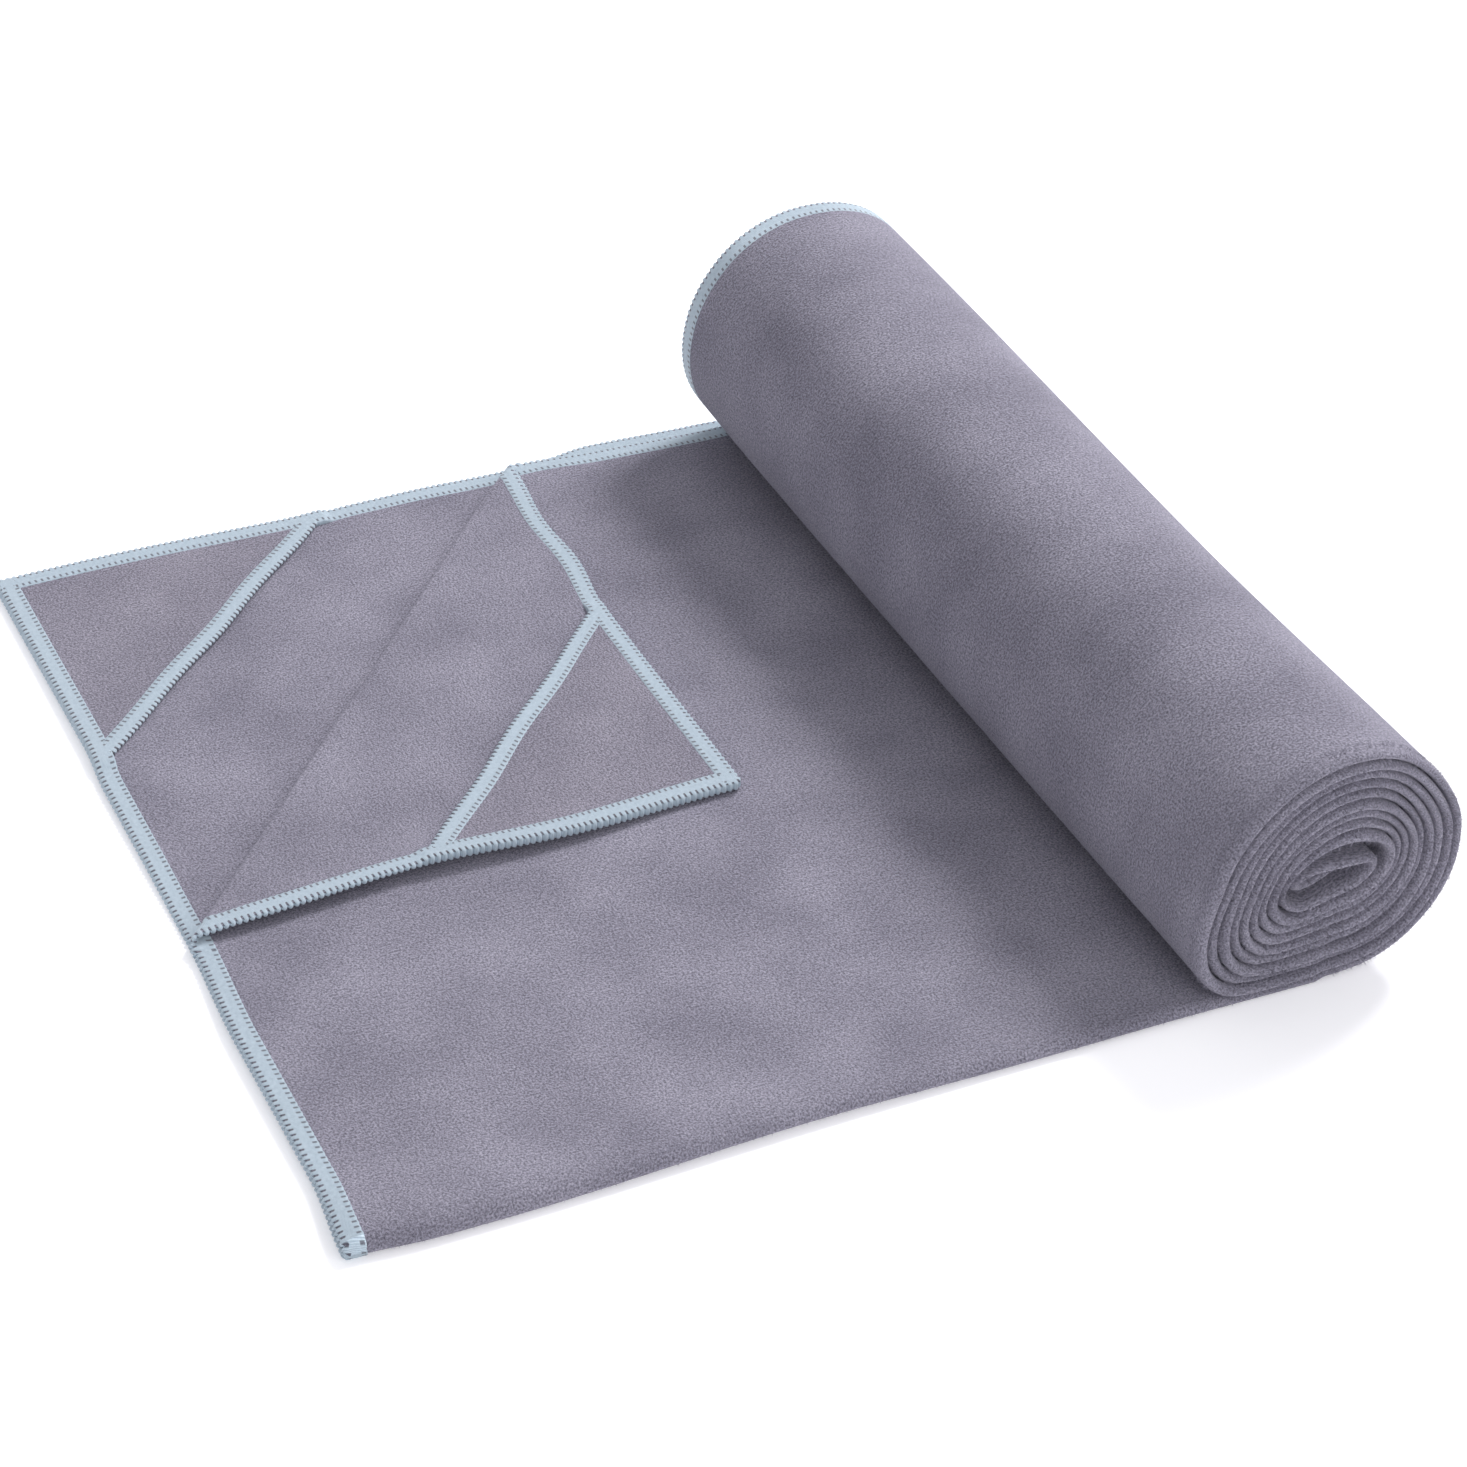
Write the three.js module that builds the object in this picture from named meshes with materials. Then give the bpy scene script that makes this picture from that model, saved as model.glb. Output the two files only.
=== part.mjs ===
// Quick-dry travel towel, folded in half lengthwise and rolled up from one end.
//
// Millimetres, +Z up. The towel lies along X, with the roll at +X. The side fold
// is at -Y and the two open long edges are at +Y. The origin is on the floor,
// under the centre of the whole towel. Shapes are first laid out from the near
// left corner of the flat part, and the group is moved so that the origin is right.
import * as THREE from 'three';

// Driving dimensions of the towel
const TOWEL_LENGTH = 1830;
const TOWEL_WIDTH = 610;
const CLOTH = 1.2;
const EDGING_WIDTH = 5.5;
const MOUTH_EDGING_WIDTH = 5;

// How it is folded: legs of the corner that is turned back, along the long edge and
// along the short edge, and the rolled end
const FOLDED_WIDTH = TOWEL_WIDTH / 2;
const CREASE = { along: 173, across: 178 };
const ROLL_X = 290.5;
const ROLL_SKEW = 0.065;
const ROLL_RADIUS = 42;
const KNOTS_PER_TURN = 16;

// Pocket legs, along the long edge and along the short edge
const LOWER_POCKET = { along: 108, across: 95 };
const TURNED_POCKET = { along: 98, across: 103 };
const ROLLED_POCKET = { along: 100, across: 94 };

// Clearance between pieces that touch, and the stack of layers that follows from it
const GAP = 0.3;
const LAYER = CLOTH + GAP;
const DOUBLE = LAYER + CLOTH;
const TURN_PITCH = 2 * LAYER;
const POCKET_ROOM = 2 * LAYER;
const FOLD_DEPTH = 3;
const FOLD_ARC_STEPS = 4;
const INSET = EDGING_WIDTH + GAP;
const TIP_WIDTH = 1.5;

const clothMaterial = () =>
  new THREE.MeshStandardMaterial({ color: 0x857f8c, roughness: 0.95, metalness: 0 });
const pocketMaterial = () =>
  new THREE.MeshStandardMaterial({ color: 0x8c8591, roughness: 0.95, metalness: 0 });
const edgingMaterial = () =>
  new THREE.MeshStandardMaterial({ color: 0xb2c4d0, roughness: 0.6, metalness: 0 });

const towel = new THREE.Group();

function addPiece(name, geometry, material) {
  const mesh = new THREE.Mesh(geometry, material);
  mesh.name = name;
  towel.add(mesh);
}

// ---- Flat pieces ----

// A flat piece of cloth: a closed outline of [x, y] points, one layer thick.
function flatPiece(outline, bottom) {
  const points = outline.map(([x, y]) => new THREE.Vector2(x, y));
  const options = { depth: CLOTH, bevelEnabled: false };
  const geometry = new THREE.ExtrudeGeometry(new THREE.Shape(points), options);
  geometry.translate(0, 0, bottom);
  return geometry;
}

// The line where the flat part ends and the roll begins.
const rollLine = (y) => ROLL_X - ROLL_SKEW * y;
const flatEnd = (y) => [rollLine(y) - GAP, y];

// Corner coordinates: u runs from the corner along the long edge, v along the
// short edge. The lower corner is at the far left; the turned corner is its
// mirror image over the crease.
const CREASE_LENGTH = Math.hypot(CREASE.along, CREASE.across);
const lowerCorner = ([u, v]) => [u, FOLDED_WIDTH - v];

function turnedCorner([u, v]) {
  const uncut = CREASE.along * CREASE.across - CREASE.across * u - CREASE.along * v;
  const fromCrease = uncut / CREASE_LENGTH;
  const [x, y] = lowerCorner([u, v]);
  const reach = (2 * fromCrease) / CREASE_LENGTH;
  return [x + reach * CREASE.across, y - reach * CREASE.along];
}

// A line parallel to the crease, moved away from the corner: v where it crosses a
// given u, and u where it crosses a given v.
function creaseLine(moveOut) {
  const level = CREASE.along * CREASE.across + moveOut * CREASE_LENGTH;
  return {
    atU: (u) => [u, (level - CREASE.across * u) / CREASE.along],
    atV: (v) => [(level - CREASE.along * v) / CREASE.across, v],
  };
}

// Where a line parallel to a pocket's mouth, moved in from it, crosses the two edgings.
function mouthLine({ along, across }, moveIn) {
  const share = 1 - moveIn * Math.hypot(1 / along, 1 / across);
  return [
    [along * (share - INSET / across), INSET],
    [INSET, across * (share - INSET / along)],
  ];
}

function flatPocket(name, legs, place, bottom) {
  const [mouthAlong, mouthAcross] = mouthLine(legs, 0);
  const [seamAlong, seamAcross] = mouthLine(legs, MOUTH_EDGING_WIDTH);
  const [clothAlong, clothAcross] = mouthLine(legs, MOUTH_EDGING_WIDTH + GAP);
  const cloth = [[INSET, INSET], clothAlong, clothAcross];
  const edging = [mouthAlong, mouthAcross, seamAcross, seamAlong];
  addPiece(`corner_pocket_${name}`, flatPiece(cloth.map(place), bottom), pocketMaterial());
  addPiece(`mouth_edging_${name}`, flatPiece(edging.map(place), bottom), edgingMaterial());
}

function addLowerLayer() {
  const farSide = FOLDED_WIDTH - INSET;
  const nearSide = FOLD_DEPTH + GAP;
  const panel = [[INSET, nearSide], flatEnd(nearSide), flatEnd(farSide), [INSET, farSide]];
  const left = [[0, nearSide], [EDGING_WIDTH, nearSide], [EDGING_WIDTH, FOLDED_WIDTH], [0, FOLDED_WIDTH]];
  const farBottom = FOLDED_WIDTH - EDGING_WIDTH;
  const far = [[INSET, farBottom], flatEnd(farBottom), flatEnd(FOLDED_WIDTH), [INSET, FOLDED_WIDTH]];
  addPiece('panel_lower_layer', flatPiece(panel, 0), clothMaterial());
  addPiece('edging_lower_short', flatPiece(left, 0), edgingMaterial());
  addPiece('edging_lower_long', flatPiece(far, 0), edgingMaterial());
}

function addUpperLayer() {
  const farSide = FOLDED_WIDTH - INSET;
  const nearSide = FOLD_DEPTH + GAP;
  // The upper layer stops just short of the crease.
  const line = creaseLine(GAP);
  const atX = (x) => lowerCorner(line.atU(x));
  const atY = (y) => lowerCorner(line.atV(FOLDED_WIDTH - y));
  const panel = [
    [INSET, nearSide],
    flatEnd(nearSide),
    flatEnd(farSide),
    atY(farSide),
    atX(INSET),
  ];
  const left = [[0, nearSide], [EDGING_WIDTH, nearSide], atX(EDGING_WIDTH), atX(0)];
  const farBottom = FOLDED_WIDTH - EDGING_WIDTH;
  const far = [atY(farBottom), flatEnd(farBottom), flatEnd(FOLDED_WIDTH), atY(FOLDED_WIDTH)];
  addPiece('panel_upper_layer', flatPiece(panel, LAYER), clothMaterial());
  addPiece('edging_upper_short', flatPiece(left, LAYER), edgingMaterial());
  addPiece('edging_upper_long', flatPiece(far, LAYER), edgingMaterial());
}

// The far left corner of the upper layer, folded back over the crease.
function addTurnedCorner() {
  const bottom = 2 * LAYER;
  const { atU, atV } = creaseLine(-GAP);
  const panel = [[INSET, INSET], atV(INSET), atU(INSET)];
  const longRun = [[0, 0], atV(0), atV(EDGING_WIDTH), [0, EDGING_WIDTH]];
  const shortRun = [[0, INSET], [EDGING_WIDTH, INSET], atU(EDGING_WIDTH), atU(0)];
  addPiece('turned_corner', flatPiece(panel.map(turnedCorner), bottom), clothMaterial());
  addPiece('edging_turned_long', flatPiece(longRun.map(turnedCorner), bottom), edgingMaterial());
  addPiece('edging_turned_short', flatPiece(shortRun.map(turnedCorner), bottom), edgingMaterial());
}

// ---- Pieces with a section that is carried along a path ----

// A closed solid through rings of corners, all with the same number of corners.
function loft(rings) {
  const size = rings[0].length;
  const positions = rings.flat().flatMap((corner) => corner.toArray());
  const last = (rings.length - 1) * size;
  const index = [];
  for (let start = 0; start < last; start += size) {
    for (let corner = 0; corner < size; corner += 1) {
      const here = start + corner;
      const beside = start + ((corner + 1) % size);
      index.push(here, beside, beside + size);
      index.push(here, beside + size, here + size);
    }
  }
  for (let corner = 1; corner < size - 1; corner += 1) {
    index.push(0, corner + 1, corner);
    index.push(last, last + corner, last + corner + 1);
  }
  const geometry = new THREE.BufferGeometry();
  geometry.setAttribute('position', new THREE.Float32BufferAttribute(positions, 3));
  geometry.setIndex(index);
  return facingOut(geometry);
}

// Turns every face over if the solid's signed volume is negative.
function facingOut(geometry) {
  const position = geometry.getAttribute('position');
  const index = geometry.getIndex().array;
  const [a, b, c] = [new THREE.Vector3(), new THREE.Vector3(), new THREE.Vector3()];
  let volume = 0;
  for (let face = 0; face < index.length; face += 3) {
    a.fromBufferAttribute(position, index[face]);
    b.fromBufferAttribute(position, index[face + 1]);
    c.fromBufferAttribute(position, index[face + 2]);
    volume += a.dot(b.cross(c));
  }
  if (volume < 0) {
    index.reverse();
  }
  geometry.computeVertexNormals();
  return geometry;
}

// The section of the side fold: [y, height] corners of a strip with a round near side.
function foldSection() {
  const radius = DOUBLE / 2;
  const corners = [[FOLD_DEPTH, DOUBLE]];
  for (let step = 0; step <= FOLD_ARC_STEPS; step += 1) {
    const angle = Math.PI * (0.5 + step / FOLD_ARC_STEPS);
    corners.push([radius + radius * Math.cos(angle), radius + radius * Math.sin(angle)]);
  }
  corners.push([FOLD_DEPTH, 0]);
  return corners;
}

function flatFold(startX, endX) {
  const ring = (edge) => foldSection().map(([y, z]) => new THREE.Vector3(edge(y), y, z));
  return loft([ring(startX), ring(endX)]);
}

function addSideFold() {
  const strip = flatFold(() => INSET, (y) => rollLine(y) - GAP);
  const turn = flatFold(() => 0, () => EDGING_WIDTH);
  addPiece('panel_side_fold', strip, clothMaterial());
  addPiece('edging_fold_turn', turn, edgingMaterial());
}

// ---- The roll ----

// Knots along the rolled stretch, from the floor outwards to the towel's end in
// the core. Each holds the roll's outer radius, the length rolled up so far, and
// the room that the pockets take up between the two layers.
function rollKnots(rolledLength) {
  const pocketStart = rolledLength - ROLLED_POCKET.along - EDGING_WIDTH;
  const turn = (2 * Math.PI) / KNOTS_PER_TURN;
  const knots = [{ angle: 0, radius: ROLL_RADIUS, length: 0, room: 0 }];
  let knot = knots[0];
  while (knot.length < rolledLength) {
    const inPockets = knot.length > pocketStart;
    const pitch = TURN_PITCH + (inPockets ? POCKET_ROOM : 0);
    const middle = knot.radius - DOUBLE / 2 - knot.room / 2;
    knot = {
      angle: knot.angle + turn,
      radius: knot.radius - pitch / KNOTS_PER_TURN,
      length: knot.length + middle * turn,
      room: inPockets ? POCKET_ROOM : 0,
    };
    knots.push(knot);
  }
  return knots;
}

const ROLLED_LENGTH = TOWEL_LENGTH - rollLine(FOLDED_WIDTH / 2);
const KNOTS = rollKnots(ROLLED_LENGTH);

// A place on a knot's spoke: a depth in from the roll's outer radius.
function onSpoke(knot, depth, y) {
  const radius = knot.radius - depth;
  const x = rollLine(y) + radius * Math.sin(knot.angle);
  const z = ROLL_RADIUS - radius * Math.cos(knot.angle);
  return new THREE.Vector3(x, y, z);
}

// A place at a rolled length, a depth and a distance along the roll. The depth is
// a function of the knot, because the pockets push the inner layer in.
function inRoll(length, depth, y) {
  const next = Math.max(1, KNOTS.findIndex((knot) => knot.length >= length));
  const [before, after] = [KNOTS[next - 1], KNOTS[next]];
  const share = (length - before.length) / (after.length - before.length);
  return onSpoke(before, depth(before), y).lerp(onSpoke(after, depth(after), y), share);
}

const outerDepth = () => 0;
const innerDepth = (knot) => LAYER + knot.room;
const outerPocketDepth = () => LAYER;
const innerPocketDepth = () => 2 * LAYER;

// One layer of cloth in the roll, between two lengths and two edges across it.
function rolledPiece({ from, to, depth, near, far }) {
  const inside = KNOTS.map((knot) => knot.length).filter((length) => length > from && length < to);
  const under = (knot) => depth(knot) + CLOTH;
  const rings = [from, ...inside, to].map((length) => [
    inRoll(length, depth, near(length)),
    inRoll(length, depth, far(length)),
    inRoll(length, under, far(length)),
    inRoll(length, under, near(length)),
  ]);
  return loft(rings);
}

const across = (y) => () => y;

function addRolledLayer(name, depth) {
  const clothEnd = ROLLED_LENGTH - INSET;
  const endStart = ROLLED_LENGTH - EDGING_WIDTH;
  const farSide = across(FOLDED_WIDTH - INSET);
  const nearSide = across(FOLD_DEPTH + GAP);
  const edgeStart = across(FOLDED_WIDTH - EDGING_WIDTH);
  const edgeEnd = across(FOLDED_WIDTH);
  const panel = rolledPiece({ from: 0, to: clothEnd, depth, near: nearSide, far: farSide });
  const long = rolledPiece({ from: 0, to: clothEnd, depth, near: edgeStart, far: edgeEnd });
  const short = rolledPiece({ from: endStart, to: ROLLED_LENGTH, depth, near: nearSide, far: edgeEnd });
  addPiece(`panel_rolled_${name}`, panel, clothMaterial());
  addPiece(`edging_rolled_${name}_long`, long, edgingMaterial());
  addPiece(`edging_rolled_${name}_short`, short, edgingMaterial());
}

// The round side fold, carried round every turn of the roll.
function addRolledFold() {
  const end = ROLLED_LENGTH - INSET;
  const lengths = KNOTS.map((knot) => knot.length).filter((length) => length < end);
  const stretch = (knot) => (DOUBLE + knot.room) / DOUBLE;
  const rings = [...lengths, end].map((length) =>
    foldSection().map(([y, height]) =>
      inRoll(length, (knot) => (DOUBLE - height) * stretch(knot), y),
    ),
  );
  addPiece('panel_rolled_side_fold', loft(rings), clothMaterial());
}

// A pocket on one of the two corners that lie in the core of the roll.
function addRolledPocket(name, depth) {
  const { along, across: acrossLeg } = ROLLED_POCKET;
  const slant = Math.hypot(1, acrossLeg / along);
  const farSide = FOLDED_WIDTH - INSET;
  const to = ROLLED_LENGTH - INSET;
  const startLength = ROLLED_LENGTH - along;
  const mouth = (moveIn) => (length) =>
    FOLDED_WIDTH - (acrossLeg * (length - startLength)) / along + moveIn * slant;
  const reaches = (moveIn) => {
    const room = FOLDED_WIDTH - farSide + TIP_WIDTH + moveIn * slant;
    return startLength + (room * along) / acrossLeg;
  };
  const seam = MOUTH_EDGING_WIDTH + GAP;
  const cloth = rolledPiece({ from: reaches(seam), to, depth, near: mouth(seam), far: across(farSide) });
  const edging = rolledPiece({
    from: reaches(MOUTH_EDGING_WIDTH),
    to,
    depth,
    near: mouth(0),
    far: mouth(MOUTH_EDGING_WIDTH),
  });
  addPiece(`corner_pocket_${name}`, cloth, pocketMaterial());
  addPiece(`mouth_edging_${name}`, edging, edgingMaterial());
}

addLowerLayer();
addUpperLayer();
addSideFold();
addTurnedCorner();
flatPocket('lower', LOWER_POCKET, lowerCorner, LAYER);
flatPocket('turned', TURNED_POCKET, turnedCorner, 3 * LAYER);
addRolledLayer('outer', outerDepth);
addRolledLayer('inner', innerDepth);
addRolledFold();
addRolledPocket('rolled_outer', outerPocketDepth);
addRolledPocket('rolled_inner', innerPocketDepth);

const centre = new THREE.Box3().setFromObject(towel).getCenter(new THREE.Vector3());
towel.position.set(-centre.x, -centre.y, 0);
towel.updateMatrixWorld(true);

export default towel;
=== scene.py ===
"""Quick-dry travel towel: folded in half lengthwise, part rolled up, with one corner turned back.

The shape is worked out in a layout frame in millimetres, with its origin at the near left corner of the
flat part, X along the towel, Y across it and Z up. place() turns it into the row frame, in metres.
"""
import math

import bpy
import numpy as np
from mathutils import Matrix, Vector

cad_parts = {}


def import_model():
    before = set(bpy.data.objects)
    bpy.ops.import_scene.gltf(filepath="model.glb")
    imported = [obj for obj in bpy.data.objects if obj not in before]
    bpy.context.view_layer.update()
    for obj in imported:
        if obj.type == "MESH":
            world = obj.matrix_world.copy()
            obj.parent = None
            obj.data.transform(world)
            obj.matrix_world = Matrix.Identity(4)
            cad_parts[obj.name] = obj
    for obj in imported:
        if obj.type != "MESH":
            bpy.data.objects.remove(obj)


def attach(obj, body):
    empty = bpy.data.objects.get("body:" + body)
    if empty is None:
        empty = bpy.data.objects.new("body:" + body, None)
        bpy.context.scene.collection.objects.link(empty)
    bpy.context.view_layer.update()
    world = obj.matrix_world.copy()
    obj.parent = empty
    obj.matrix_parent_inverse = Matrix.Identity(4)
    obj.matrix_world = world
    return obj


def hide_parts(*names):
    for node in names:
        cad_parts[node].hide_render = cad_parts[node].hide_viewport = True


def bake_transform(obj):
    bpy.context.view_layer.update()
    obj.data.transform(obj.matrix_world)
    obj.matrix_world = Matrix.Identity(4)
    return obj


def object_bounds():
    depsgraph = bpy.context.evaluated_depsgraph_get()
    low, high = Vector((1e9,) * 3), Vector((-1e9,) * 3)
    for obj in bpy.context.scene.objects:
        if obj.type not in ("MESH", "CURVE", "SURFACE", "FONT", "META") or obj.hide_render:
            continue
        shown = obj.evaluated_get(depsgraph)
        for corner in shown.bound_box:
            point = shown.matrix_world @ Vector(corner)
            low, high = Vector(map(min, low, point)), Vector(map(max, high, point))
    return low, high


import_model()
CAD_BOX = [list(corner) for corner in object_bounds()]
MM = 0.001

# ---- Sizes, in millimetres ----
TOWEL_LENGTH = 1830.0
WIDTH = 305.0                  # folded width
CREASE = (173.0, 178.0)        # legs of the turned corner, along the long edge and along the short edge
ROLL_X = 291.0                 # where the roll touches the floor, at the side fold
ROLL_SKEW = 0.065              # how far the roll leans back per millimetre of width
ROLL_RADIUS = 41.6
TURN_PITCH = 3.10              # two layers of cloth and their gaps
SMALLEST_TURN = 8.4            # where the outer radius stops in the core
LOWER_POCKET = (109.0, 96.0)   # legs along the long edge and along the short edge
TURNED_POCKET = (95.0, 104.0)
ROLLED_POCKET = (100.0, 94.0)
EDGING = 5.5
MOUTH_EDGING = 5.0

CLOTH = 1.35                   # one napped layer
PLY_GAP = 0.12
POCKET_CLOTH = 1.1
POCKET_ROOM = 3.0              # room between the two layers for the pockets in the core
STITCH = 2.0                   # spacing of the overlock stitches
STITCH_SLANT = 0.14            # how far a stitch leans along the edge per millimetre across it
THREAD = 0.36                  # spacing of the strands

HALF = CLOTH / 2
FOLD_R = (CLOTH + PLY_GAP) / 2          # the side fold's bend, at mid thickness
FOLD_ARC = math.pi * FOLD_R / 2         # half of the side fold's length
FOLD_LONG = 1.9                         # how much deeper the bend is than a round one
FOLD_Y = (HALF + FOLD_R) * FOLD_LONG    # where the side fold's bend begins
EDGE = WIDTH - FOLD_Y + FOLD_ARC        # flat distance from the side fold to a long edge
CREASE_LONG = math.hypot(*CREASE)
CREASE_AWAY = CREASE[0] * CREASE[1] / CREASE_LONG     # from the corner to the crease
TO_U = CREASE[1] / CREASE_LONG          # the direction from the corner to the crease, along the towel
TO_V = CREASE[0] / CREASE_LONG          # and across it

FLAT_HALF = HALF + 0.16                 # half the edging's thickness on the flat part
ROLL_HALF = HALF + 0.04                 # and in the roll, where the turns are close
MOUTH_HALF = POCKET_CLOTH / 2 + 0.15
FLAT_END = 230.0                        # where the long edgings of the flat part meet the roll's
POCKET_BASE = HALF + POCKET_CLOTH / 2 + 0.05          # height of a pocket's middle over the cloth's
POCKET_INSET = 3.4                      # how far a pocket's cloth ends inside the towel's edge

SHARP = math.radians(62)                # edges with a sharper turn are shaded as edges
CAMERA_AT = (-309.0, -763.0, 836.0)
CAMERA_TURN = (28.1, 38.6, 4.6)         # yaw, pitch and roll, in degrees
CAMERA_LENS = 110.4

ORIGIN = np.array(CAD_BOX[0])


def place(points):
    """Layout millimetres to row-frame metres."""
    return np.asarray(points, float) * MM + ORIGIN


def smooth(x):
    """A soft step: zero up to 0, one from 1."""
    x = np.clip(x, 0, 1)
    return x * x * (3 - 2 * x)


# ---- Camera: made first ----

def make_camera():
    """The photo's viewpoint, which was fitted to the corners of the flat part."""
    yaw, pitch, roll = (math.radians(angle) for angle in CAMERA_TURN)
    forward = Vector((math.sin(yaw) * math.cos(pitch),
                      math.cos(yaw) * math.cos(pitch),
                      -math.sin(pitch)))
    level = Vector((math.cos(yaw), -math.sin(yaw), 0))
    lift = level.cross(forward)
    right = level * math.cos(roll) + lift * math.sin(roll)
    up = lift * math.cos(roll) - level * math.sin(roll)
    camera = bpy.data.objects.new("camera", bpy.data.cameras.new("camera"))
    camera.data.lens = CAMERA_LENS
    camera.data.sensor_width = 36.0
    camera.data.clip_start = 0.05
    turn = Matrix((right, up, -forward)).transposed()
    camera.matrix_world = Matrix.Translation(place(CAMERA_AT)) @ turn.to_4x4()
    bpy.context.collection.objects.link(camera)
    bpy.context.scene.camera = camera


make_camera()

# ---- Materials ----

def node_tree(name):
    """A new material, with its shader and the flat UVs in millimetres."""
    material = bpy.data.materials.new(name)
    material.use_nodes = True
    nodes = material.node_tree.nodes
    links = material.node_tree.links
    shader = nodes["Principled BSDF"]
    uv = nodes.new("ShaderNodeUVMap")
    uv.uv_map = "flat"
    return material, nodes, links, shader, uv


def noise(nodes, links, uv, scale, detail=3.0, roughness=0.6):
    """Noise over the flat cloth; scale is in features per millimetre."""
    texture = nodes.new("ShaderNodeTexNoise")
    texture.inputs["Scale"].default_value = scale
    texture.inputs["Detail"].default_value = detail
    texture.inputs["Roughness"].default_value = roughness
    links.new(uv.outputs["UV"], texture.inputs["Vector"])
    return texture.outputs["Fac"]


def ramp(nodes, links, value, low, high, colour_low, colour_high):
    """A colour that goes from the one at low to the other at high."""
    node = nodes.new("ShaderNodeValToRGB")
    node.color_ramp.elements[0].position = low
    node.color_ramp.elements[1].position = high
    node.color_ramp.elements[0].color = (*colour_low, 1)
    node.color_ramp.elements[1].color = (*colour_high, 1)
    links.new(value, node.inputs["Fac"])
    return node.outputs["Color"]


def multiply(nodes, links, a, b):
    """Two colours multiplied."""
    node = nodes.new("ShaderNodeMix")
    node.data_type = "RGBA"
    node.blend_type = "MULTIPLY"
    node.inputs["Factor"].default_value = 1.0
    links.new(a, node.inputs["A"])
    links.new(b, node.inputs["B"])
    return node.outputs["Result"]


def math_node(nodes, links, operation, *values):
    """values are numbers or the outputs of other nodes."""
    node = nodes.new("ShaderNodeMath")
    node.operation = operation
    for socket, value in zip(node.inputs, values):
        if isinstance(value, (int, float)):
            socket.default_value = value
        else:
            links.new(value, socket)
    return node.outputs["Value"]


def cloth_material(name, dark, light):
    """Brushed microfibre: large soft patches, partly where the nap lies differently and partly painted
    shade and light of soft undulations, and a fine pebbled pile.
    """
    material, nodes, links, shader, uv = node_tree(name)
    # The large patches are partly the nap's own tone and partly painted shade and light of the cloth's soft
    # undulations.
    nap_and_shade_clouds = noise(nodes, links, uv, 0.028, detail=3, roughness=0.5)
    tufts = noise(nodes, links, uv, 0.45, detail=5, roughness=0.7)
    pile = noise(nodes, links, uv, 1.5, detail=3, roughness=0.7)
    base = ramp(nodes, links, nap_and_shade_clouds, 0.32, 0.68, dark, light)
    shade = ramp(nodes, links, tufts, 0.3, 0.7, (0.82, 0.82, 0.83), (1.04, 1.04, 1.04))
    grain = ramp(nodes, links, pile, 0.37, 0.63, (0.45, 0.45, 0.47), (1.36, 1.36, 1.37))
    colour = multiply(nodes, links, multiply(nodes, links, base, shade), grain)
    links.new(colour, shader.inputs["Base Color"])
    shader.inputs["Roughness"].default_value = 0.95
    shader.inputs["Specular IOR Level"].default_value = 0.15
    shader.inputs["Sheen Weight"].default_value = 0.3
    shader.inputs["Sheen Roughness"].default_value = 0.4
    shader.inputs["Sheen Tint"].default_value = (0.86, 0.84, 0.95, 1)
    height = math_node(nodes, links, "ADD", math_node(nodes, links, "MULTIPLY", tufts, 0.6), pile)
    bump = nodes.new("ShaderNodeBump")
    bump.inputs["Strength"].default_value = 0.85
    bump.inputs["Distance"].default_value = 0.0007
    links.new(height, bump.inputs["Height"])
    links.new(bump.outputs["Normal"], shader.inputs["Normal"])
    return material


def band(nodes, links, value, low, high, soft):
    """One where value lies between low and high, with soft ends."""
    up = nodes.new("ShaderNodeMapRange")
    down = nodes.new("ShaderNodeMapRange")
    for node, start, stop in ((up, low - soft, low + soft), (down, high + soft, high - soft)):
        node.interpolation_type = "SMOOTHSTEP"
        node.inputs["From Min"].default_value = start
        node.inputs["From Max"].default_value = stop
        links.new(value, node.inputs["Value"])
    return math_node(nodes, links, "MULTIPLY", up.outputs["Result"], down.outputs["Result"])


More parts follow.
